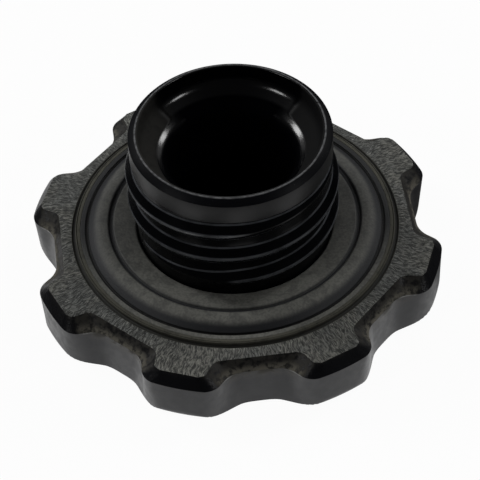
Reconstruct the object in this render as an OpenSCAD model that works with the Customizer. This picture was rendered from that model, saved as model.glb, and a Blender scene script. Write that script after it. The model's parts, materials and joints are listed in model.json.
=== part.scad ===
// Screw-in oil filler cap: a lobed knob with a hollow threaded neck, moulded as
// one piece, and the rubber gasket that seals it. It lies on its grip face.
// Origin: centre of the grip face. +Z runs up the neck.
// All radii follow from root_r: the bore inwards, the knob outwards.

/* [Neck] */
// Radius of the neck at the thread root
root_r = 16.8; // [16.5:0.05:17]
// Length of the neck above the underside of the knob
neck_l = 22.5; // [20:0.5:30]
// Step from the thread root out to the pilot band under the rim
pilot_step = 0.25; // [0.2:0.05:0.5]
// Length of the pilot band
pilot_l = 2.65; // [2.2:0.05:2.9]
// Length of the taper from the pilot band to the thread root
pilot_taper_l = 1.2; // [0.5:0.1:1.4]
// Width of the chamfer outside the rim
rim_chamfer_w = 1.15; // [0.8:0.05:1.5]
// Height of the chamfer outside the rim
rim_chamfer_h = 0.95; // [0.5:0.05:1.2]
// Width of the flat rim round the mouth
rim_w = 0.5; // [0.3:0.1:0.8]
// Height of the steep wall between the rim and the funnel
mouth_h = 3; // [2:0.1:3.5]
// Width by which that wall draws in
mouth_draft = 0.4; // [0.2:0.05:0.8]
// Width of the funnel between the foot of that wall and the bore
funnel_w = 4; // [3.5:0.1:5]
// Height over which the funnel falls to the bore
funnel_h = 2.6; // [2:0.1:4]
// Radius that rounds the funnel into the bore
funnel_edge_r = 2.5; // [1.5:0.1:3]
// Thickness of the wall that closes the bore at the grip face
face_t = 3; // [2.5:0.1:4]

/* [Thread] */
// Rise of the thread in one turn
pitch = 5.5; // [5:0.25:6]
// Height of the thread above its root
thread_h = 1.2; // [0.8:0.05:1.4]
// Length along the neck of the flank on each side of the crest
flank_l = 1.7; // [1.2:0.1:1.9]
// Width of the crest
crest_w = 0.5; // [0.3:0.1:0.8]
// Turns over which the thread rises from the neck at its lead-in
lead_turns = 0.45; // [0.2:0.05:0.6]
// Turns over which the thread sinks back above the gasket
run_out_turns = 0.2; // [0.1:0.05:0.4]
// Distance from the rim down to the crest where the thread starts
thread_start = 5.2; // [5:0.1:5.6]
// Height of the crest above the underside of the knob where the thread ends
thread_end = 3.55; // [3:0.05:5]
// Angle round the neck at which the thread starts
thread_start_deg = 37.5; // [0:2.5:357.5]

/* [Gasket seat] */
// Width of the gasket seat round the neck
seat_w = 10.1; // [9.5:0.1:11]
// Depth of the gasket seat below the underside
seat_d = 1.8; // [1.2:0.1:2.5]
// Width of the raised bead round the seat
bead_w = 0.7; // [0.5:0.1:1]
// Height of the bead above the underside
bead_h = 0.45; // [0.2:0.05:0.8]
// Width of the groove outside the bead
groove_w = 0.5; // [0.3:0.1:0.8]
// Depth of the groove outside the bead
groove_d = 0.5; // [0.3:0.1:0.8]

/* [Gasket] */
// Clearance between the gasket and the plastic on each side of it
gasket_clear = 0.12; // [0.05:0.01:0.25]
// Thickness of the gasket web between its ribs
web_t = 1.9; // [1:0.1:2.2]
// Width of the inner ring
ring_w = 3.6; // [3:0.1:4]
// Height of the inner ring at its outer edge
ring_h = 3.3; // [2.4:0.1:3.6]
// Fall of the inner ring towards the neck
ring_fall = 0.7; // [0.2:0.1:1]
// Width of the dip between the inner ring and the sealing bulge
dip_w = 0.6; // [0.4:0.1:0.8]
// Height of the sealing bulge
bulge_h = 3.65; // [3.2:0.05:4.2]
// Radius of the rounded top of the bulge
bulge_arc_r = 4; // [3.5:0.1:4.5]
// Distance from the inner foot of the bulge to its highest line
bulge_top = 1.2; // [1:0.1:1.6]
// Gap between the bulge and the flange at the outer edge
flange_gap = 0.33; // [0.2:0.01:0.6]
// Width of the flange
flange_w = 1.05; // [0.7:0.05:1.3]
// Thickness of the flange
flange_t = 2.25; // [2.2:0.05:2.6]

/* [Knob] */
// Thickness of the knob, from the grip face to the underside
knob_h = 10; // [9:0.1:14]
// Width of the land between the groove and the floor of each scallop
land_w = 3.3; // [2.8:0.1:4]
// Depth of each scallop below the lobe tips
scallop_d = 4.5; // [3.5:0.1:5.5]
// Width of the flat floor of each scallop
floor_w = 5.6; // [4:0.1:7]
// Radius of the concave fillet at each end of the floor
fillet_r = 4.2; // [3:0.1:5]
// Width of the flat flank between each corner and its fillet
flank_w = 1.2; // [1:0.1:2]
// Radius of the rounded lobe corners
corner_r = 3.2; // [2:0.1:4]
// Number of lobes
lobes = 8; // [7:1:9]
// Radius that rounds the edge of the grip face
grip_edge_r = 1.6; // [0.8:0.1:2.5]
// Height of the chamfer round the underside
chamfer_h = 2.4; // [1.5:0.1:3]
// Width of the chamfer across each lobe tip
tip_chamfer_w = 0.9; // [0.5:0.1:1.2]
// Width of the chamfer along the floor of each scallop
floor_chamfer_w = 1.1; // [0.8:0.1:1.4]
// Width of the chamfer in each fillet
fillet_chamfer_w = 1.6; // [1.5:0.1:2]

/* [Hidden] */

$fn = 96;
eps = 0.01;

total_h = knob_h + neck_l;
pilot_r = root_r + pilot_step;
rim_r = pilot_r - rim_chamfer_w;
lip_r = rim_r - rim_w;
bore_r = lip_r - mouth_draft - funnel_w;
seat_r = root_r + seat_w;
groove_r = seat_r + bead_w + groove_w;
scallop_r = groove_r + land_w;
tip_r = scallop_r + scallop_d;
wall_h = knob_h - chamfer_h;
seat_z = knob_h - seat_d;
lobe_deg = 360 / lobes;

// Each half of a lobe is a chain of arcs and flats: the tip, the rounded corner, the
// flank, the concave fillet, and then the floor of the scallop. The flank meets its
// two arcs crease_deg short of tangent, so that they cross.
corner_c = tip_r - corner_r;
fillet_c = norm([scallop_r + fillet_r, floor_w / 2]);
fillet_deg = lobe_deg / 2 - atan2(floor_w / 2, scallop_r + fillet_r);
crease_deg = 6;
arcs_d = (corner_r + fillet_r) * cos(crease_deg);
centres_d = norm([arcs_d, flank_w]);
corner_deg = fillet_deg
    - acos((corner_c ^ 2 + fillet_c ^ 2 - centres_d ^ 2) / (2 * corner_c * fillet_c));
corner = on_circle(corner_c, corner_deg);
fillet = on_circle(fillet_c, fillet_deg);
flank_deg = atan2(fillet.y - corner.y, fillet.x - corner.x) - atan2(flank_w, arcs_d);
flank_top = corner + on_circle(corner_r * cos(crease_deg), flank_deg);
flank_foot = fillet - on_circle(fillet_r * cos(crease_deg), flank_deg);
floor_end = fillet - on_circle(fillet_r, lobe_deg / 2);

// Funnel: a cone from the foot of the mouth's wall that would meet the bore at throat_z
throat_z = total_h - mouth_h - funnel_h;
funnel_deg = atan(funnel_h / funnel_w);
funnel_edge = [bore_r + funnel_edge_r,
    throat_z - funnel_edge_r * (1 - sin(funnel_deg)) / cos(funnel_deg)];

thread_turns = (neck_l - thread_start - thread_end) / pitch;
thread_steps_per_turn = 45;
thread_steps = round(thread_turns * thread_steps_per_turn);
thread_bite = 0.4;
grip_edge_stop_deg = 12;

// Point at radius r and angle a
function on_circle(r, a) = [r * cos(a), r * sin(a)];

// Point p turned by angle a about the origin
function turned(p, a) = [p.x * cos(a) - p.y * sin(a), p.x * sin(a) + p.y * cos(a)];

// How far the thread has risen out of the neck, from 0 to 1, after t turns
function thread_rise(t) = min(1, t / lead_turns, (thread_turns - t) / run_out_turns);

// Four corners of the thread's section after t turns, from the top flank down
function thread_ring(t) =
    let(
        crest_r = root_r + thread_h * thread_rise(t),
        foot_r = root_r - thread_h - thread_bite,
        foot_half = crest_w / 2 + flank_l * (crest_r - foot_r) / thread_h,
        z = total_h - thread_start - pitch * t,
        dir = on_circle(1, thread_start_deg - 360 * t)
    )
    [for (p = [[foot_r, foot_half], [crest_r, crest_w / 2], [crest_r, -crest_w / 2], [foot_r, -foot_half]])
        [p.x * dir.x, p.x * dir.y, z + p.y]];

module thread() {
    last = 4 * thread_steps;
    points = [for (i = [0 : thread_steps]) each thread_ring(i / thread_steps_per_turn)];
    sides = [for (i = [0 : thread_steps - 1], k = [0 : 3])
        let(a = 4 * i + k, b = 4 * i + (k + 1) % 4)
        each [[a, b, b + 4], [a, b + 4, a + 4]]];
    ends = [[3, 2, 1, 0], [last, last + 1, last + 2, last + 3]];
    polyhedron(points, concat(sides, ends));
}

module lobe_outline() {
    half = [corner, flank_top, flank_foot, floor_end];
    lobe = concat([for (k = [3 : -1 : 0]) [half[k].x, -half[k].y]], half);
    difference() {
        union() {
            polygon([for (i = [0 : lobes - 1], p = lobe) turned(p, i * lobe_deg)]);
            for (i = [0 : lobes - 1]) rotate(i * lobe_deg) {
                intersection() {
                    circle(r = tip_r);
                    polygon([[0, 0], on_circle(2 * tip_r, -corner_deg), on_circle(2 * tip_r, corner_deg)]);
                }
                for (side = [-1, 1]) translate([corner.x, side * corner.y]) circle(r = corner_r);
            }
        }
        for (i = [0 : lobes - 1], side = [-1, 1]) rotate(i * lobe_deg)
            translate([fillet.x, side * fillet.y]) circle(r = fillet_r);
    }
}

// Turned envelope that rounds the edge of the grip face. Its arc meets the wall
// of a lobe tip a few degrees before the two would be tangent.
module grip_envelope() {
    arc_c = tip_r - grip_edge_r * cos(grip_edge_stop_deg);
    rotate_extrude() {
        square([arc_c, knob_h]);
        translate([arc_c, grip_edge_r]) {
            square([2 * grip_edge_r, knob_h]);
            circle(r = grip_edge_r);
        }
    }
}

// Sloped facet that faces +X and leaves the wall at distance d from the axis
module facet(d, across, in_by) {
    translate([d, 0, wall_h]) rotate([0, -atan(in_by / chamfer_h), 0])
        translate([0, -across / 2, -chamfer_h]) cube([tip_r / 4, across, 3 * chamfer_h]);
}

// Chamfers round the underside: a facet on each tip and floor, a cone in each
// fillet. All of them start below the wall's top edge, outside the plastic.
module underside_chamfers() {
    for (i = [0 : lobes - 1]) rotate(i * lobe_deg) {
        facet(tip_r, tip_r, tip_chamfer_w);
        rotate(lobe_deg / 2) facet(scallop_r, floor_w, floor_chamfer_w);
        for (side = [-1, 1]) translate([fillet.x, side * fillet.y, wall_h - chamfer_h])
            cylinder(h = 3 * chamfer_h, r1 = fillet_r - fillet_chamfer_w,
                r2 = fillet_r + 2 * fillet_chamfer_w);
    }
}

module knob() {
    difference() {
        intersection() {
            linear_extrude(knob_h) lobe_outline();
            grip_envelope();
        }
        underside_chamfers();
        translate([0, 0, seat_z]) cylinder(h = seat_d + eps, r = seat_r);
        translate([0, 0, knob_h - groove_d]) cylinder(h = groove_d + eps, r = groove_r);
    }
}

// Raised bead that holds the gasket in its seat
module bead() {
    rotate_extrude() translate([seat_r, seat_z - eps])
        square([bead_w, seat_d + bead_h + eps]);
}

module neck() {
    pilot_top = total_h - rim_chamfer_h;
    rotate_extrude() polygon([[0, face_t], [root_r, face_t],
        [root_r, pilot_top - pilot_l - pilot_taper_l], [pilot_r, pilot_top - pilot_l],
        [pilot_r, pilot_top], [rim_r, total_h], [0, total_h]]);
    thread();
}

// The mouth, the funnel and the bore below it, with the last edge rounded
module hollow() {
    rise = on_circle(funnel_edge_r, funnel_deg + 90);
    rotate_extrude() difference() {
        polygon([[0, face_t], [bore_r, face_t], [bore_r, funnel_edge.y], funnel_edge,
            funnel_edge + rise, [lip_r - mouth_draft, total_h - mouth_h], [lip_r, total_h],
            [lip_r, total_h + 1], [0, total_h + 1]]);
        translate(funnel_edge) circle(r = funnel_edge_r);
    }
}

module cap_body() {
    color("#2b2d2c") difference() {
        union() {
            knob();
            bead();
            neck();
        }
        hollow();
    }
}

module gasket() {
    in_r = root_r + gasket_clear;
    out_r = seat_r - gasket_clear;
    ring_out_r = in_r + ring_w;
    bulge_in_r = ring_out_r + dip_w;
    bulge_out_r = out_r - flange_w - flange_gap;
    color("#45453f") rotate_extrude() translate([0, seat_z]) {
        translate([in_r, 0]) square([out_r - in_r, web_t]);
        translate([out_r - flange_w, 0]) square([flange_w, flange_t]);
        polygon([[in_r, 0], [ring_out_r, 0], [ring_out_r, ring_h], [in_r, ring_h - ring_fall]]);
        intersection() {
            translate([bulge_in_r + bulge_top, bulge_h - bulge_arc_r]) circle(r = bulge_arc_r);
            translate([bulge_in_r, 0]) square([bulge_out_r - bulge_in_r, bulge_h]);
        }
    }
}

cap_body();
gasket();
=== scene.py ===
import json
from math import acos, atan2, ceil, cos, degrees, hypot, pi, radians, sin, sqrt, tan

import bmesh
import bpy
from mathutils import Matrix, Vector


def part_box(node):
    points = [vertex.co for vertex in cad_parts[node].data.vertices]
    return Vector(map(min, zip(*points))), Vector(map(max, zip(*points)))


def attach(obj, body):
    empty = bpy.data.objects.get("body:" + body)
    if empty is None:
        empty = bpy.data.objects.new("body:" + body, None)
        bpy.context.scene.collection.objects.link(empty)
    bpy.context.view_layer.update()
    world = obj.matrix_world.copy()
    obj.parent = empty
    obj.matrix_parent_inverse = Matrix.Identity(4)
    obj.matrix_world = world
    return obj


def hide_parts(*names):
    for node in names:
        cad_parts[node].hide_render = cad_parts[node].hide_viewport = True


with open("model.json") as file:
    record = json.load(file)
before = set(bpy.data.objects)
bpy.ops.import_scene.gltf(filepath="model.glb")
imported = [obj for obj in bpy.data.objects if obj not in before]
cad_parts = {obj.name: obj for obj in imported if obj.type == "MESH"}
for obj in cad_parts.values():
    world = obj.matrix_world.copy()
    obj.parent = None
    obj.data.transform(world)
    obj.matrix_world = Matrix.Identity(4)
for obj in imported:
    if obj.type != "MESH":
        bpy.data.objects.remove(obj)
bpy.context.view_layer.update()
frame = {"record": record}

# Lengths are in millimetres up to the last step of each mesh, and angles in degrees.
MM = 0.001

# Overall sizes, from the frame
low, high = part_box("cap_body")
total_h = high.z / MM
tip_r = high.x / MM
pilot_r = [m["dims"]["r_mm"] for m in frame["record"]["mounts"] if m["name"] == "pilot"][0]

# Knob
lobes = 8
lobe_deg = 360 / lobes
half_lobe = lobe_deg / 2
knob_h = 10.0
scallop_r = 31.4
scallop_d = tip_r - scallop_r
floor_w = 5.6
fillet_r = 4.2
corner_r = 3.2
flank_w = 1.2
crease_deg = 6
chamfer_h = 2.4
wall_h = knob_h - chamfer_h
tip_chamfer_w = 1.5
floor_chamfer_w = 1.25
top_floor_w = 12.2
top_fillet_r = 2.1
top_corner_r = 1.2
land_fall = 0.35
grip_edge_r = 1.6
wall_draft = 0.2
soften_deg = 4
knob_columns = 720
centre_r = 0.01

# Rings of the knob's mesh, closer together at the edges
land_shares = (0.15, 0.3, 0.45, 0.6, 0.75, 0.87, 0.95, 0.99, 1)
chamfer_shares = (0.985, 0.94, 0.85, 0.75, 0.6, 0.45, 0.3, 0.15, 0.06, 0.015, 0)
wall_heights = (wall_h - 0.04, wall_h - 0.15, 6.5, 4.5, 3, 2, grip_edge_r)
grip_edge_turns = (15, 30, 45, 60, 75, 90)
grip_face_shares = (0.97, 0.6, 0.2)

# Seat and neck
root_r = pilot_r - 0.25
seat_r = 26.9
seat_z = 8.2
bead_w = 0.7
bead_line_r = 27.3
bead_line_w = 0.16
bead_line_d = 0.25
seat_wall_gap = 0.03
bead_h = 0.45
groove_w = 0.6
groove_d = 0.35
groove_r = seat_r + bead_w + groove_w
land_in_r = groove_r + 0.5
pilot_l = 3.6
pilot_taper_l = 0.3
rim_chamfer_w = 1.15
rim_chamfer_h = 0.95
rim_r = pilot_r - rim_chamfer_w
rim_mid_r = rim_r - 0.2
lip_r = rim_r - 0.5
mouth_h = 3.0
mouth_draft = 0.3
bore_r = lip_r - 4.7
funnel_h = 3.0
funnel_edge_r = 2.6
dish_r = 2.4
face_t = 3.0

# Thread
pitch = 5.5
thread_h = 1.2
flank_l = 1.7
crest_half = 0.25
crest_edge_r = 0.28
thread_foot_r = 0.45
thread_turns = 2.5
lead_turns = 0.32
run_out_turns = 0.2
thread_start = 5.2
thread_start_deg = 37.5
turn_columns = 240
spare_turns = 3
neck_cut_top = total_h - thread_start + 0.3
neck_cut_foot = knob_h + 0.2
weld_d = 0.002
cut_dist = 0.00001
cut_tolerance = 0.01

# Gasket
gasket_clear = 0.12
gasket_in_r = root_r + gasket_clear
gasket_out_r = seat_r - gasket_clear
ring_out_r = gasket_in_r + 4.05
bulge_in_r = ring_out_r + 0.75
bulge_out_r = gasket_out_r - 1.35
flange_in_r = bulge_out_r + 0.5
gasket_foot_z = seat_z + 0.02
web_z = seat_z + 1.9
flange_z = seat_z + 2.25
ring_z = seat_z + 3.3
bulge_z = seat_z + 3.65
ring_groove_d = 0.4
gasket_columns = 256

# Camera, at the photograph's angle
camera_aim = (0.685, 0.216, 5.5)
camera_azimuth = -72.5
camera_elevation = 47.07
camera_roll = -2.93
camera_distance = 364.8
camera_focal_px = 2088.4
camera_clip = (0.01, 20)
sensor_w = 36
image_px = 480

# Light, with the lamps in metres and watts. The floor's pool fades out between two radii, and
# between two angles on the right. The backdrop fades in between two cosines from straight behind.
lamp_distance = 0.8
floor_half = 3
floor_white = 0.96
floor_pool_r = (42, 60)
floor_pool_end = 0.04
floor_right_deg = (60, 90)
floor_right_level = 0.1
room_level = 0.06
backdrop_edge = (0.2, 0.95)
backdrop_light = 0.6
backdrop_gloss = 0.6

# Colours
pilot_black = (0.0035, 0.0037, 0.0048)
pilot_highlight_and_wear = (0.13, 0.132, 0.136)
neck_black = (0.0012, 0.0014, 0.002)
neck_highlight = (0.056, 0.06, 0.066)
mouth_black = (0.001, 0.0011, 0.0016)
mouth_dust_and_light = (0.016, 0.0155, 0.014)
bead_black = (0.022, 0.022, 0.019)
bead_dust = (0.07, 0.068, 0.054)
grain_hollow = (0.028, 0.029, 0.027)
grain_ridge = (0.122, 0.127, 0.118)
grain_dust = (0.168, 0.167, 0.145)
grain_fleck = (0.34, 0.34, 0.31)
chamfer_black = (0.0045, 0.0046, 0.0058)
chamfer_dust = (0.12, 0.112, 0.092)
wall_black = (0.0095, 0.010, 0.0122)
wall_dust = (0.045, 0.041, 0.032)
wall_edge_highlight = (0.2, 0.2, 0.19)
rubber_black = (0.016, 0.017, 0.019)
rubber_dust = (0.142, 0.142, 0.128)
rubber_gap_shade = (0.003, 0.003, 0.003)
floor_colour = (0.8, 0.8, 0.8, 1)

# Radii and angles between which dust, gloss and painted light change; the angles are from the camera's
# side
mouth_front_deg = (15.0, 50.0)
mouth_far_deg = (134.0, 116.0)
mouth_left_deg = (-20.0, 20.0)
bore_far_deg = (122.0, 140.0)
chamfer_dust_r = (34.9, 33.6)
wall_dust_r = (34.5, 32.0)
hollow_start_r = (31.8, 32.4)
hollow_end_r = (34.6, 33.8)
flange_front_deg = (90.0, 60.0)
ring_front_deg = (35.0, 90.0)


# Node helpers

def put(tree, kind, settings=None, **inputs):
    """Adds a node; each input is a value, or the socket that feeds it."""
    made = tree.nodes.new(kind)
    for name, value in (settings or {}).items():
        setattr(made, name, value)
    for name, value in inputs.items():
        feed(tree, made.inputs[name.replace("_", " ")], value)
    return made


def feed(tree, socket, value):
    if isinstance(value, bpy.types.NodeSocket):
        tree.links.new(value, socket)
    else:
        socket.default_value = value


def calc(tree, operation, *values):
    made = tree.nodes.new("ShaderNodeMath")
    made.operation = operation
    for socket, value in zip(made.inputs, values):
        feed(tree, socket, value)
    return made.outputs[0]


def times(tree, first, second):
    return calc(tree, "MULTIPLY", first, second)


def ramp(tree, value, start, end, low=0.0, high=1.0):
    """Smooth step of a value, from low at start to high at end."""
    made = tree.nodes.new("ShaderNodeMapRange")
    made.interpolation_type = "SMOOTHSTEP"
    for socket, level in zip(made.inputs, (value, start, end, low, high)):
        feed(tree, socket, level)
    return made.outputs["Result"]


def band(tree, value, one_side, other_side):
    """Between two edges of a value, each given as where it is 0 and where it is 1."""
    return times(tree, ramp(tree, value, *one_side), ramp(tree, value, *other_side))


def blend(tree, share, first, second):
    """Colour between two colours."""
    made = tree.nodes.new("ShaderNodeMix")
    made.data_type = "RGBA"
    feed(tree, made.inputs[0], share)
    for socket, colour in ((made.inputs[6], first), (made.inputs[7], second)):
        feed(tree, socket, colour if isinstance(colour, bpy.types.NodeSocket) else (*colour, 1))
    return made.outputs[2]


def new_group(name, inputs, outputs):
    """A shader node group with float inputs (name: default) and named outputs."""
    tree = bpy.data.node_groups.new(name, "ShaderNodeTree")
    for label, default in inputs.items():
        socket = tree.interface.new_socket(label, in_out="INPUT", socket_type="NodeSocketFloat")
        socket.default_value = default
    for label in outputs:
        tree.interface.new_socket(label, in_out="OUTPUT", socket_type="NodeSocketFloat")
    return tree, put(tree, "NodeGroupInput").outputs, put(tree, "NodeGroupOutput").inputs


def use_group(tree, group, **inputs):
    made = tree.nodes.new("ShaderNodeGroup")
    made.node_tree = group
    for name, value in inputs.items():
        feed(tree, made.inputs[name], value)
    return made.outputs


def millimetres(tree):
    """Object coordinates in millimetres."""
    place = put(tree, "ShaderNodeTexCoord").outputs["Object"]
    made = put(tree, "ShaderNodeVectorMath", {"operation": "SCALE"}, Scale=1 / MM)
    tree.links.new(place, made.inputs[0])
    return made.outputs[0]


def placed_group():
    """Where a point lies: distance from the axis, height, and angle from the camera's side."""
    tree, _, out = new_group("placed", {}, ("Radius", "Height", "Angle"))
    x, y, z = put(tree, "ShaderNodeSeparateXYZ", Vector=millimetres(tree)).outputs
    square = calc(tree, "ADD", calc(tree, "POWER", x, 2.0), calc(tree, "POWER", y, 2.0))
    feed(tree, out["Radius"], calc(tree, "SQRT", square))
    feed(tree, out["Height"], z)
    turn = radians(camera_azimuth)
    ahead = calc(tree, "ADD", times(tree, x, cos(turn)), times(tree, y, sin(turn)))
    left = calc(tree, "SUBTRACT", times(tree, x, sin(turn)), times(tree, y, cos(turn)))
    feed(tree, out["Angle"], calc(tree, "DEGREES", calc(tree, "ARCTAN2", left, ahead)))
    return tree


PLACED = placed_group()


def patches_group():
    """Soft patches of the given size that cover a share of the surface."""
    inputs = {"Size": 5.0, "Share": 0.5, "Softness": 0.1, "Shift": 0.0}
    tree, given, out = new_group("patches", inputs, ("Mask",))
    scale = calc(tree, "DIVIDE", 1.0, given["Size"])
    cloud = put(tree, "ShaderNodeTexNoise", {"noise_dimensions": "4D"}, Vector=millimetres(tree),
                W=given["Shift"], Scale=scale, Detail=4.0, Roughness=0.6)
    edge = calc(tree, "SUBTRACT", 1.0, given["Share"])
    level = ramp(tree, cloud.outputs[0], 0.25, 0.75)
    start = calc(tree, "SUBTRACT", edge, given["Softness"])
    end = calc(tree, "ADD", edge, given["Softness"])
    feed(tree, out["Mask"], ramp(tree, level, start, end))
    return tree


def grain_group():
    """Wavy ridges of a cast surface that run outwards, as a height from 0 to 1."""
    inputs = {"Size": 0.4, "Stretch": 2.5, "Bend": 1.0}
    tree, given, out = new_group("cast_grain", inputs, ("Height",))
    at = use_group(tree, PLACED)
    across = times(tree, at["Angle"], radians(scallop_r))
    drift = put(tree, "ShaderNodeTexNoise", Vector=millimetres(tree), Scale=0.25, Detail=2.0).outputs[0]
    across = calc(tree, "ADD", across, times(tree, drift, given["Bend"]))
    narrow = calc(tree, "DIVIDE", across, given["Size"])
    along = calc(tree, "DIVIDE", at["Radius"], times(tree, given["Size"], given["Stretch"]))
    stretched = put(tree, "ShaderNodeCombineXYZ", X=narrow, Y=along).outputs[0]
    ridges = put(tree, "ShaderNodeTexNoise", Vector=stretched,
                 Scale=1.0, Detail=3.0, Roughness=0.6, Distortion=0.7)
    feed(tree, out["Height"], ramp(tree, ridges.outputs[0], 0.3, 0.7))
    return tree


PATCHES = patches_group()
GRAIN = grain_group()


# Materials

def new_material(name, **constants):
    """A material whose shader has the constants set on its own sockets."""
    material = bpy.data.materials.new(name)
    material.use_nodes = True
    shader = material.node_tree.nodes["Principled BSDF"]
    for label, value in constants.items():
        shader.inputs[label.replace("_", " ")].default_value = value
    return material, material.node_tree, shader.inputs


def bump(tree, height, depth):
    """Normal of a height from 0 to 1 that is depth millimetres deep."""
    return put(tree, "ShaderNodeBump", Strength=1.0, Distance=depth * MM, Height=height).outputs[0]


def noise(tree, size, stretch=(1, 1, 1)):
    """Noise from 0 to 1 with features of a size in millimetres."""
    scaled = put(tree, "ShaderNodeMapping", Vector=millimetres(tree), Scale=stretch).outputs[0]
    return put(tree, "ShaderNodeTexNoise", Vector=scaled, Scale=1 / size, Detail=3.0).outputs[0]


def pilot_plastic():
    """Smooth plastic of the pilot band and rim, a painted highlight with rubbing on the rim's top edge,
    and light specks.
    """
    material, tree, shader = new_material("pilot_band")
    at = use_group(tree, PLACED)
    # The rim's top edge is painted lighter: a painted highlight, with some rubbed wear.
    edge = ramp(tree, at["Height"], total_h - 0.12, total_h - 0.02)
    painted_highlight = times(tree, edge, ramp(tree, noise(tree, 0.9), 0.35, 0.6, 0.45, 1))
    specks = ramp(tree, noise(tree, 0.22), 0.69, 0.76)
    highlight_and_specks = calc(tree, "MAXIMUM", painted_highlight, times(tree, specks, 0.35))
    feed(tree, shader["Base Color"], blend(tree, highlight_and_specks, pilot_black, pilot_highlight_and_wear))
    feed(tree, shader["Roughness"], ramp(tree, noise(tree, 4.0), 0.3, 0.7, 0.36, 0.4))
    slope = total_h - rim_chamfer_h
    gloss = ramp(tree, at["Height"], slope - 0.05, slope + 0.05, 0.52, 0.04)
    feed(tree, shader["Specular IOR Level"], gloss)
    feed(tree, shader["Normal"], bump(tree, noise(tree, 0.3), 0.006))
    return material


def neck_plastic():
    """Glossy black plastic of the threaded neck, with painted highlights along its crests and roots."""
    material, tree, shader = new_material("glossy_neck")
    at = use_group(tree, PLACED)
    # Painted highlights: the crest and root lines are painted lighter and given more specular.
    crest = ramp(tree, at["Radius"], root_r + thread_h - 0.16, root_r + thread_h - 0.03)
    root = band(tree, at["Radius"], (root_r + 0.01, root_r + 0.06), (root_r + 0.26, root_r + 0.16))
    lines = calc(tree, "MAXIMUM", crest, root)
    painted_highlight = times(tree, lines, ramp(tree, noise(tree, 3.0), 0.3, 0.6, 0.5, 1))
    feed(tree, shader["Base Color"], blend(tree, painted_highlight, neck_black, neck_highlight))
    feed(tree, shader["Roughness"], ramp(tree, noise(tree, 5.0), 0.3, 0.7, 0.18, 0.3))
    feed(tree, shader["Specular IOR Level"], ramp(tree, painted_highlight, 0, 1, 0.12, 0.6))
    feed(tree, shader["Normal"], bump(tree, noise(tree, 0.3), 0.004))
    return material


def mouth_plastic():
    """Glossy black plastic inside the mouth, dull at its sides, with dust and painted light on the
    left.
    """
    material, tree, shader = new_material("mouth_with_dust_and_light")
    at = use_group(tree, PLACED)
    ledge = ramp(tree, at["Radius"], bore_r + 1.5, bore_r + 2.2)
    turn = calc(tree, "ABSOLUTE", at["Angle"])
    sides = band(tree, turn, mouth_front_deg, mouth_far_deg)
    dull = times(tree, ledge, sides)
    patch = use_group(tree, PATCHES, Size=1.2, Share=0.8, Softness=0.5)["Mask"]
    # Dust and painted light: the dull part is painted lighter on the left, far less on the right.
    left = ramp(tree, at["Angle"], *mouth_left_deg, 0.12, 1)
    patchy = ramp(tree, patch, 0, 1, 0.45, 1)
    dust = times(tree, times(tree, dull, left), patchy)
    feed(tree, shader["Base Color"], blend(tree, dust, mouth_black, mouth_dust_and_light))
    feed(tree, shader["Roughness"], ramp(tree, dull, 0.15, 0.6, 0.17, 0.75))
    inner = ramp(tree, at["Radius"], bore_r + 2.6, bore_r + 2.0)
    far = times(tree, inner, ramp(tree, turn, *bore_far_deg))
    gloss = times(tree, ramp(tree, dull, 0, 0.2, 0.45, 0.12), calc(tree, "SUBTRACT", 1.0, far))
    feed(tree, shader["Specular IOR Level"], gloss)
    feed(tree, shader["Normal"], bump(tree, noise(tree, 0.3), 0.006))
    return material


def bead_plastic():
    """The bead round the gasket, dusty on top, dark in the grooves beside it."""
    material, tree, shader = new_material("dusty_bead", Specular_IOR_Level=0.25)
    at = use_group(tree, PLACED)
    top = ramp(tree, at["Height"], knob_h - 0.3, knob_h + bead_h - 0.1)
    patch = use_group(tree, PATCHES, Size=1.4, Share=0.7, Softness=0.3)["Mask"]
    dust = times(tree, top, ramp(tree, patch, 0, 1, 0.5, 1))
    feed(tree, shader["Base Color"], blend(tree, dust, bead_black, bead_dust))
    feed(tree, shader["Roughness"], ramp(tree, dust, 0, 1, 0.6, 0.8))
    feed(tree, shader["Normal"], bump(tree, noise(tree, 0.35), 0.05))
    return material


def underside_plastic():
    """The cast, dusty land round the gasket, with its wavy grain."""
    material, tree, shader = new_material("cast_underside", Specular_IOR_Level=0.4)
    grain = use_group(tree, GRAIN, Size=0.26, Stretch=4.0, Bend=2.5)["Height"]
    patch = use_group(tree, PATCHES, Size=7.0, Share=0.5, Softness=0.35, Shift=3.0)["Mask"]
    dusty = blend(tree, patch, grain_ridge, grain_dust)
    body = blend(tree, ramp(tree, grain, 0.1, 0.9), grain_hollow, dusty)
    fleck = times(tree, ramp(tree, grain, 0.7, 1), ramp(tree, noise(tree, 0.3), 0.5, 0.62))
    feed(tree, shader["Base Color"], blend(tree, times(tree, fleck, 0.5), body, grain_fleck))
    feed(tree, shader["Roughness"], ramp(tree, grain, 0, 1, 0.7, 0.45))
    feed(tree, shader["Normal"], bump(tree, grain, 0.13))
    return material


def facet_plastic():
    """The chamfer round the underside: black, with brown dust over the wall's edge in the scallops."""
    material, tree, shader = new_material("chamfer", Specular_IOR_Level=0.15)
    at = use_group(tree, PLACED)
    scallop = ramp(tree, at["Radius"], *chamfer_dust_r)
    low_part = ramp(tree, at["Height"], wall_h + 1.2, wall_h + 0.1, 0.2, 1)
    patch = use_group(tree, PATCHES, Size=0.9, Share=0.6, Softness=0.4, Shift=7.0)["Mask"]
    dust = times(tree, times(tree, scallop, low_part), ramp(tree, patch, 0, 1, 0.15, 1))
    feed(tree, shader["Base Color"], blend(tree, dust, chamfer_black, chamfer_dust))
    feed(tree, shader["Roughness"], ramp(tree, dust, 0, 0.5, 0.32, 0.8))
    feed(tree, shader["Normal"], bump(tree, noise(tree, 0.4), 0.06))
    return material


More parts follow.
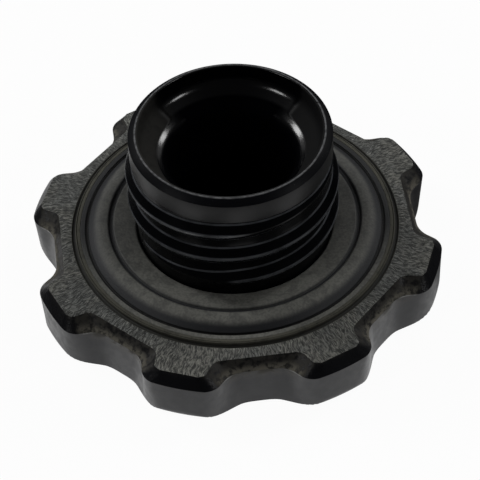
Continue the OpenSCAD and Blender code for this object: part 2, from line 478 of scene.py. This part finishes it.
def wall_plastic():
    """Smooth satin plastic of the grip, dusty in the scallops, with a painted highlight along its top
    edge there.
    """
    material, tree, shader = new_material("satin_wall", Specular_IOR_Level=0.42)
    at = use_group(tree, PLACED)
    scallop = ramp(tree, at["Radius"], *wall_dust_r)
    near_top = ramp(tree, at["Height"], wall_h - 2.4, wall_h)
    patch = use_group(tree, PATCHES, Size=2.2, Share=0.6, Softness=0.4, Shift=11.0)["Mask"]
    dust = times(tree, times(tree, scallop, near_top), patch)
    # A painted highlight along the wall's top edge in the scallops.
    hollow = band(tree, at["Radius"], hollow_start_r, hollow_end_r)
    edge = times(tree, ramp(tree, at["Height"], wall_h - 0.4, wall_h - 0.1), hollow)
    painted_highlight = times(tree, edge, ramp(tree, noise(tree, 1.6), 0.4, 0.55, 0.2, 1))
    body = blend(tree, dust, wall_black, wall_dust)
    feed(tree, shader["Base Color"], blend(tree, painted_highlight, body, wall_edge_highlight))
    mottle = ramp(tree, noise(tree, 1.3), 0.35, 0.65, 0.35, 0.44)
    feed(tree, shader["Roughness"], calc(tree, "MAXIMUM", mottle, times(tree, dust, 0.75)))
    feed(tree, shader["Normal"], bump(tree, noise(tree, 0.5), 0.012))
    return material


ZONE_FINISHES = {
    "neck": neck_plastic,
    "pilot": pilot_plastic,
    "mouth": mouth_plastic,
    "bead": bead_plastic,
    "underside": underside_plastic,
    "facet": facet_plastic,
    "wall": wall_plastic}
ZONES = list(ZONE_FINISHES)


def gasket_rubber():
    """Matt grey rubber, dusty on the ring and bulge top, dark on its outer slope; painted shade in
    groove and slot.
    """
    material, tree, shader = new_material("gasket_rubber", Specular_IOR_Level=0.2)
    at = use_group(tree, PLACED)
    patch = use_group(tree, PATCHES, Size=2.4, Share=0.55, Softness=0.45, Shift=5.0)["Mask"]
    turn = calc(tree, "ABSOLUTE", at["Angle"])
    rings = noise(tree, 1.2, (1, 1, 0.2))
    top = ramp(tree, at["Radius"], bulge_in_r + 3.0, bulge_in_r + 1.9)
    # Painted shade: a band in and beside the groove keeps the dark rubber, without dust.
    groove_shade = band(tree, at["Radius"], (bulge_in_r - 1.1, bulge_in_r - 0.4), (bulge_in_r + 0.5, bulge_in_r))
    # Paler towards the camera's side and darker at the sides.
    ahead = ramp(tree, turn, *flange_front_deg, 0.15, 1)
    flange = times(tree, ahead, ramp(tree, at["Radius"], gasket_out_r - 0.9, gasket_out_r - 0.8))
    dust = calc(tree, "MAXIMUM", times(tree, top, calc(tree, "SUBTRACT", 1.0, groove_shade)), flange)
    dust = times(tree, dust, ramp(tree, calc(tree, "ADD", patch, rings), 0.3, 1.4, 0.6, 1))
    dust = times(tree, dust, ramp(tree, turn, *ring_front_deg, 1, 0.55))
    dust = times(tree, dust, ramp(tree, noise(tree, 0.45), 0.35, 0.65, 0.75, 1.1))
    # Painted shade: the slot between the bulge and the flange is painted near black.
    gap = band(tree, at["Radius"], (bulge_out_r - 0.1, bulge_out_r),
               (gasket_out_r - 0.8, gasket_out_r - 0.9))
    body = blend(tree, dust, rubber_black, rubber_dust)
    feed(tree, shader["Base Color"], blend(tree, gap, body, rubber_gap_shade))
    feed(tree, shader["Roughness"], ramp(tree, dust, 0, 1, 0.5, 0.75))
    feed(tree, shader["Normal"], bump(tree, noise(tree, 0.35), 0.05))
    return material


# Mesh helpers

def polar(r, a):
    return Vector((r * cos(radians(a)), r * sin(radians(a))))


def rounded(corners, step_deg=15):
    """Points of a path whose corners (r, z, radius) are rounded by arcs."""
    points = []
    for i, (r, z, radius) in enumerate(corners):
        here = Vector((r, z))
        if radius == 0 or i in (0, len(corners) - 1):
            points.append(here)
            continue
        back = (Vector(corners[i - 1][:2]) - here).normalized()
        ahead = (Vector(corners[i + 1][:2]) - here).normalized()
        between = acos(max(-1, min(1, back.dot(ahead))))
        centre = here + (back + ahead).normalized() * radius / sin(between / 2)
        start = here + back * radius / tan(between / 2) - centre
        sweep = pi - between
        if start.x * back.y - start.y * back.x > 0:
            sweep = -sweep
        steps = max(2, ceil(abs(degrees(sweep)) / step_deg))
        for k in range(steps + 1):
            turn = Matrix.Rotation(sweep * k / steps, 2)
            points.append(centre + turn @ start)
    return points


def place(vert, r, z):
    """Moves a vertex to radius r and height z, at the angle it has."""
    share = r / hypot(vert.co.x, vert.co.y)
    vert.co = Vector((vert.co.x * share, vert.co.y * share, z))


def grow(bm, rim, where, zone):
    """Extrudes a closed rim to a new one, placed by where(angle) -> (r, z), with a zone's finish."""
    made = bmesh.ops.extrude_edge_only(bm, edges=rim)["geom"]
    verts = {v for v in made if isinstance(v, bmesh.types.BMVert)}
    for v in verts:
        place(v, *where(degrees(atan2(v.co.y, v.co.x))))
    for f in made:
        if isinstance(f, bmesh.types.BMFace):
            f.material_index = ZONES.index(zone)
    return [e for e in made if isinstance(e, bmesh.types.BMEdge) and set(e.verts) <= verts]


def grow_path(bm, rim, points, zone):
    """Extrudes a rim through the rings of a turned profile."""
    for r, z in points:
        rim = grow(bm, rim, lambda angle: (r, z), zone)
    return rim


def close_centre(bm, rim, zone):
    """Closes a ring by collapsing one more ring at the axis."""
    z = rim[0].verts[0].co.z
    rim = grow(bm, rim, lambda angle: (centre_r, z), zone)
    verts = list({v for e in rim for v in e.verts})
    bmesh.ops.pointmerge(bm, verts=verts, merge_co=(0, 0, z))


def open_ring(bm, columns, r, z):
    """A ring of edges with no face."""
    made = bmesh.ops.create_circle(bm, cap_ends=False, segments=columns, radius=r)["verts"]
    for v in made:
        v.co.z = z
    return list({e for v in made for e in v.link_edges})


def piece(name, bm, materials):
    """Makes the finished mesh an object in metres, on the cap's body and in its material slot."""
    bmesh.ops.recalc_face_normals(bm, faces=bm.faces)
    bmesh.ops.scale(bm, vec=(MM, MM, MM), verts=bm.verts)
    mesh = bpy.data.meshes.new(name)
    bm.to_mesh(mesh)
    bm.free()
    mesh.shade_smooth()
    for material in materials:
        mesh.materials.append(material)
    made = bpy.data.objects.new(name, mesh)
    bpy.context.scene.collection.objects.link(made)
    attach(made, "root")
    return made


# Outline of the knob, in the frame of one half lobe: angle 0 at the tip

def hit(c, c_deg, radius, a, side):
    """Distance along the ray at angle a to a circle's far side (side 1) or near side (-1)."""
    across = c * sin(radians(a - c_deg))
    if abs(across) >= radius:
        return None
    return c * cos(radians(a - c_deg)) + side * sqrt(radius ** 2 - across ** 2)


def outline(s):
    """Radius by angle of the outline at share s of the way up the chamfer."""
    tip = tip_r - tip_chamfer_w * s
    floor = scallop_r - floor_chamfer_w * s
    half_floor = (floor_w + (top_floor_w - floor_w) * s) / 2
    hollow_r = fillet_r + (top_fillet_r - fillet_r) * s
    end_r = corner_r + (top_corner_r - corner_r) * s
    corner_c = tip - end_r
    hollow_c = hypot(floor + hollow_r, half_floor)
    hollow_deg = half_lobe - degrees(atan2(half_floor, floor + hollow_r))
    arcs_d = (end_r + hollow_r) * cos(radians(crease_deg))
    centres_d = hypot(arcs_d, flank_w)
    corner_deg = hollow_deg - degrees(
        acos((corner_c ** 2 + hollow_c ** 2 - centres_d ** 2) / (2 * corner_c * hollow_c)))
    corner = polar(corner_c, corner_deg)
    hollow = polar(hollow_c, hollow_deg)
    flank_deg = degrees(atan2(hollow.y - corner.y, hollow.x - corner.x) - atan2(flank_w, arcs_d))
    start = corner + polar(end_r * cos(radians(crease_deg)), flank_deg)
    foot = hollow - polar(hollow_r * cos(radians(crease_deg)), flank_deg)
    along = (foot - start).normalized()
    start_deg = degrees(atan2(start.y, start.x))
    foot_deg = degrees(atan2(foot.y, foot.x))

    def radius(a):
        tip_here = tip + (tip / cos(radians(a)) - tip) * s
        arc = hit(corner_c, corner_deg, end_r, a, 1)
        near = hit(hollow_c, hollow_deg, hollow_r, a, -1)
        if a <= corner_deg:
            return tip_here
        if a < start_deg and arc is not None:
            return min(tip_here, arc)
        if floor * tan(radians(half_lobe - a)) <= half_floor:
            return floor / cos(radians(half_lobe - a))
        if a < foot_deg or near is None:
            return start.cross(along) / polar(1, a).cross(along)
        return near

    return radius


def folded(angle):
    """The angle from the middle of the nearest lobe."""
    return abs((angle + half_lobe) % lobe_deg - half_lobe)


wall_outline = outline(0)


def wall_radius(angle):
    return wall_outline(folded(angle))


# Pieces

def thread_section(bm):
    """One pitch of the neck's outside, from root to root, with its edges rounded."""
    foot = crest_half + flank_l
    crest_r = root_r + thread_h
    path = [
        (root_r, pitch / 2, 0),
        (root_r, foot, thread_foot_r),
        (crest_r, crest_half, crest_edge_r),
        (crest_r, -crest_half, crest_edge_r),
        (root_r, -foot, thread_foot_r),
        (root_r, -pitch / 2, 0)]
    start_z = total_h - thread_start + pitch
    verts = [bm.verts.new((*polar(r, thread_start_deg), start_z + z)) for r, z in rounded(path)]
    return verts + [bm.edges.new(pair) for pair in zip(verts, verts[1:])]


def thread_rise(t):
    return max(0, min(1, t / lead_turns, (thread_turns - t) / run_out_turns))


def shape_thread(vert):
    """Lets the thread rise out of the neck at its start and sink back at its end."""
    turn = ((thread_start_deg - degrees(atan2(vert.co.y, vert.co.x))) / 360) % 1
    crest_z = total_h - thread_start - pitch * turn
    t = turn + round((crest_z - vert.co.z) / pitch)
    crest_z = total_h - thread_start - pitch * t
    rise = thread_rise(t)
    off = vert.co.z - crest_z
    r = root_r + (hypot(vert.co.x, vert.co.y) - root_r) * rise
    beyond = abs(off) - crest_half
    if rise > 0 and beyond > 0:
        keep = min(1, max(0, (abs(off) - crest_half - flank_l) / (pitch / 2 - crest_half - flank_l)))
        off = (crest_half + beyond * (rise + (1 - rise) * keep)) * (1 if off > 0 else -1)
    place(vert, r, crest_z + off)


def threaded_wall(bm):
    """The outside of the neck; returns its top and foot rims."""
    turns = thread_turns + spare_turns
    steps = round(turns * turn_columns)
    bmesh.ops.spin(bm, geom=thread_section(bm), cent=(0, 0, 0), axis=(0, 0, 1),
                   dvec=(0, 0, -pitch / turn_columns), angle=-2 * pi * turns, steps=steps,
                   use_merge=False, use_duplicate=False)
    bmesh.ops.remove_doubles(bm, verts=bm.verts, dist=weld_d)
    for v in bm.verts:
        shape_thread(v)
    for z, up in ((neck_cut_top, 1), (neck_cut_foot, -1)):
        bmesh.ops.bisect_plane(bm, geom=bm.verts[:] + bm.edges[:] + bm.faces[:], dist=cut_dist,
                               plane_co=(0, 0, z), plane_no=(0, 0, up), clear_outer=True)
    return [[e for e in bm.edges if e.is_boundary and abs(e.verts[0].co.z - z) < cut_tolerance]
            for z in (neck_cut_top, neck_cut_foot)]


def neck_top(bm, rim):
    """Pilot band, rim, mouth, funnel and bore, from the top of the threaded wall inwards."""
    pilot_top = total_h - rim_chamfer_h
    outside = rounded([
        (root_r, neck_cut_top, 0),
        (root_r, pilot_top - pilot_l - pilot_taper_l, 0.02),
        (pilot_r, pilot_top - pilot_l, 0.1),
        (pilot_r, pilot_top, 0.12),
        (rim_r, total_h, 0.15),
        (rim_mid_r, total_h, 0)])
    inside = rounded([
        (rim_mid_r, total_h, 0),
        (lip_r, total_h, 0.2),
        (lip_r - mouth_draft, total_h - mouth_h, dish_r),
        (bore_r, total_h - mouth_h - funnel_h, funnel_edge_r),
        (bore_r, face_t, 0.5),
        (0.5, face_t, 0)], 5)
    rim = grow_path(bm, rim, outside[1:], "pilot")
    close_centre(bm, grow_path(bm, rim, inside[1:], "mouth"), "mouth")


def gasket_seat(bm, rim):
    """From the foot of the neck out to the groove round the bead."""
    bead_r = seat_r + bead_w
    bead_z = knob_h + bead_h
    wall_r = gasket_out_r + seat_wall_gap
    seat = rounded([
        (root_r, neck_cut_foot, 0),
        (root_r, seat_z, 0.3),
        (wall_r, seat_z, 0.1),
        (wall_r, bead_z, 0.02),
        (bead_line_r, bead_z, 0.02),
        (bead_line_r + bead_line_w / 2, bead_z - bead_line_d, 0.02),
        (bead_line_r + bead_line_w, bead_z, 0.03),
        (bead_r, bead_z, 0.1),
        (bead_r, knob_h - groove_d, 0.12),
        (groove_r, knob_h - groove_d, 0.12),
        (groove_r, knob_h, 0.15),
        (land_in_r, knob_h, 0)])
    rim = grow_path(bm, rim, seat[1:-1], "bead")
    outer = open_ring(bm, knob_columns, land_in_r, knob_h)
    for f in bmesh.ops.bridge_loops(bm, edges=rim + outer)["faces"]:
        f.material_index = ZONES.index("underside")
    return outer


def knob_rings():
    """The rings of the knob from the groove out, down the wall and in under it, by zone."""
    top_outline = outline(1)

    def land(share):
        def where(angle):
            edge = top_outline(folded(angle))
            return land_in_r + (edge - land_in_r) * share, knob_h - land_fall * share ** 2
        return where

    def chamfer(s):
        level = outline(s)
        return lambda angle: (level(folded(angle)), wall_h + (chamfer_h - land_fall) * s)

    def drafted(angle, z):
        near = range(-soften_deg, soften_deg + 1, 2)
        soft = sum(wall_radius(angle + turn) for turn in near) / len(near)
        down = 1 - z / wall_h
        r = wall_radius(angle)
        return r + (soft - r) * down + wall_draft * down * (tip_r - r) / scallop_d

    def wall(z):
        return lambda angle: (drafted(angle, z), z)

    def grip_edge(turn):
        inset = grip_edge_r * (1 - cos(radians(turn)))
        z = grip_edge_r * (1 - sin(radians(turn)))
        return lambda angle: (min(drafted(angle, z), tip_r - inset), z)

    def grip_face(share):
        return lambda angle: (min(drafted(angle, 0), tip_r - grip_edge_r) * share, 0)

    wall_rings = [wall(z) for z in wall_heights]
    edge_rings = [grip_edge(turn) for turn in grip_edge_turns]
    face_rings = [grip_face(share) for share in grip_face_shares]
    return {
        "underside": [land(share) for share in land_shares],
        "facet": [chamfer(share) for share in chamfer_shares],
        "wall": wall_rings + edge_rings + face_rings}


def cap_body():
    bm = bmesh.new()
    top, foot = threaded_wall(bm)
    neck_top(bm, top)
    rim = gasket_seat(bm, foot)
    for zone, rings in knob_rings().items():
        for where in rings:
            rim = grow(bm, rim, where, zone)
    close_centre(bm, rim, "wall")
    finishes = [finish() for finish in ZONE_FINISHES.values()]
    made = piece("moulded_cap", bm, finishes)
    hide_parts("cap_body")


def gasket():
    bm = bmesh.new()
    points = rounded([
        (gasket_in_r, gasket_foot_z, 0),
        (gasket_in_r, ring_z - 0.7, 0.6),
        (ring_out_r, ring_z, 0.3),
        (ring_out_r + 0.15, ring_z - ring_groove_d, 0.1),
        (bulge_in_r - 0.1, ring_z - ring_groove_d, 0.1),
        (bulge_in_r + 0.1, bulge_z - 0.15, 0.4),
        (bulge_in_r + 1.6, bulge_z, 2.5),
        (bulge_out_r, web_z + 0.25, 0.3),
        (bulge_out_r, web_z, 0.1),
        (flange_in_r, web_z, 0.1),
        (flange_in_r, flange_z, 0.1),
        (gasket_out_r, flange_z, 0.12),
        (gasket_out_r, gasket_foot_z, 0)])
    verts = [bm.verts.new((p.x, 0, p.y)) for p in points]
    edges = [bm.edges.new(pair) for pair in zip(verts, verts[1:] + verts[:1])]
    bmesh.ops.spin(bm, geom=verts + edges, cent=(0, 0, 0), axis=(0, 0, 1), dvec=(0, 0, 0),
                   angle=2 * pi, steps=gasket_columns, use_merge=True, use_duplicate=False)
    made = piece("rubber_gasket", bm, [gasket_rubber()])
    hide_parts("gasket")


# Stage

def make_camera():
    """The camera at the photograph's angle, looking at a point near the middle of the cap."""
    data = bpy.data.cameras.new("camera")
    data.sensor_width = sensor_w
    data.lens = camera_focal_px / image_px * data.sensor_width
    data.clip_start, data.clip_end = camera_clip
    made = bpy.data.objects.new("camera", data)
    bpy.context.scene.collection.objects.link(made)
    bpy.context.scene.camera = made
    side = polar(cos(radians(camera_elevation)), camera_azimuth)
    back = Vector((side.x, side.y, sin(radians(camera_elevation))))
    turn = back.to_track_quat("Z", "Y").to_matrix() @ Matrix.Rotation(radians(camera_roll), 3, "Z")
    place_at = Vector(camera_aim) * MM + back * camera_distance * MM
    made.matrix_world = Matrix.Translation(place_at) @ turn.to_4x4()


def make_floor():
    """A pale floor that the camera sees white; reflections see it bright only near the cap."""
    bm = bmesh.new()
    bmesh.ops.create_grid(bm, x_segments=1, y_segments=1, size=floor_half)
    mesh = bpy.data.meshes.new("floor")
    bm.to_mesh(mesh)
    bm.free()
    made = bpy.data.objects.new("floor", mesh)
    bpy.context.scene.collection.objects.link(made)
    material, tree, shader = new_material("pale_floor", Roughness=0.9, Specular_IOR_Level=0.0)
    shader["Base Color"].default_value = floor_colour
    path = put(tree, "ShaderNodeLightPath").outputs
    at = use_group(tree, PLACED)
    dim = ramp(tree, times(tree, at["Angle"], -1.0), *floor_right_deg, 1, floor_right_level)
    pool = times(tree, dim, ramp(tree, at["Radius"], *floor_pool_r, 1, floor_pool_end))
    glow = put(tree, "ShaderNodeEmission", Strength=calc(tree, "MAXIMUM", path["Is Camera Ray"], pool))
    reflected = calc(tree, "MAXIMUM", path["Is Glossy Ray"], path["Is Transmission Ray"])
    share = calc(tree, "MAXIMUM", times(tree, path["Is Camera Ray"], floor_white), reflected)
    mix = put(tree, "ShaderNodeMixShader")
    plain = tree.nodes["Principled BSDF"].outputs[0]
    for socket, source in zip(mix.inputs, (share, plain, glow.outputs[0])):
        tree.links.new(source, socket)
    tree.links.new(mix.outputs[0], tree.nodes["Material Output"].inputs[0])
    mesh.materials.append(material)


def soft_box(name, azimuth, elevation, width, height, power):
    """A rectangular lamp that faces the cap; its azimuth is from the camera's side."""
    data = bpy.data.lights.new(name, "AREA")
    data.shape = "RECTANGLE"
    data.size, data.size_y = width, height
    data.energy = power
    made = bpy.data.objects.new(name, data)
    bpy.context.scene.collection.objects.link(made)
    side = polar(cos(radians(elevation)), camera_azimuth + azimuth)
    away = Vector((side.x, side.y, sin(radians(elevation))))
    turn = away.to_track_quat("Z", "Y").to_matrix().to_4x4()
    made.matrix_world = Matrix.Translation(away * lamp_distance) @ turn


def make_lights():
    """Two soft boxes on each side: one behind the cap, and a smaller one in front of it."""
    soft_box("left_rear_box", azimuth=-122, elevation=37, width=0.2, height=0.3, power=2.5)
    soft_box("right_rear_box", azimuth=122, elevation=37, width=0.17, height=0.28, power=1.7)
    soft_box("left_front_box", azimuth=-66, elevation=38, width=0.2, height=0.16, power=0.9)
    soft_box("right_front_box", azimuth=66, elevation=38, width=0.2, height=0.16, power=0.9)


def make_world():
    """White to the camera; a white backdrop behind the cap and a dark room in front of it."""
    world = bpy.data.worlds.new("room")
    world.use_nodes = True
    tree = world.node_tree
    direction = put(tree, "ShaderNodeTexCoord").outputs["Generated"]
    behind = put(tree, "ShaderNodeVectorMath", {"operation": "DOT_PRODUCT"})
    tree.links.new(direction, behind.inputs[0])
    behind.inputs[1].default_value = (*-polar(1, camera_azimuth), 0)
    path = put(tree, "ShaderNodeLightPath").outputs
    backdrop = ramp(tree, behind.outputs["Value"], *backdrop_edge, room_level, 1)
    seen = calc(tree, "MAXIMUM", path["Is Glossy Ray"], path["Is Transmission Ray"])
    level = times(tree, backdrop, ramp(tree, seen, 0, 1, backdrop_light, backdrop_gloss))
    strength = calc(tree, "MAXIMUM", path["Is Camera Ray"], level)
    feed(tree, tree.nodes["Background"].inputs["Strength"], strength)
    tree.nodes["Background"].inputs["Color"].default_value = (1, 1, 1, 1)
    bpy.context.scene.world = world


cap_body()
gasket()
make_camera()
make_floor()
make_lights()
make_world()
bpy.context.scene.view_settings.view_transform = "Standard"
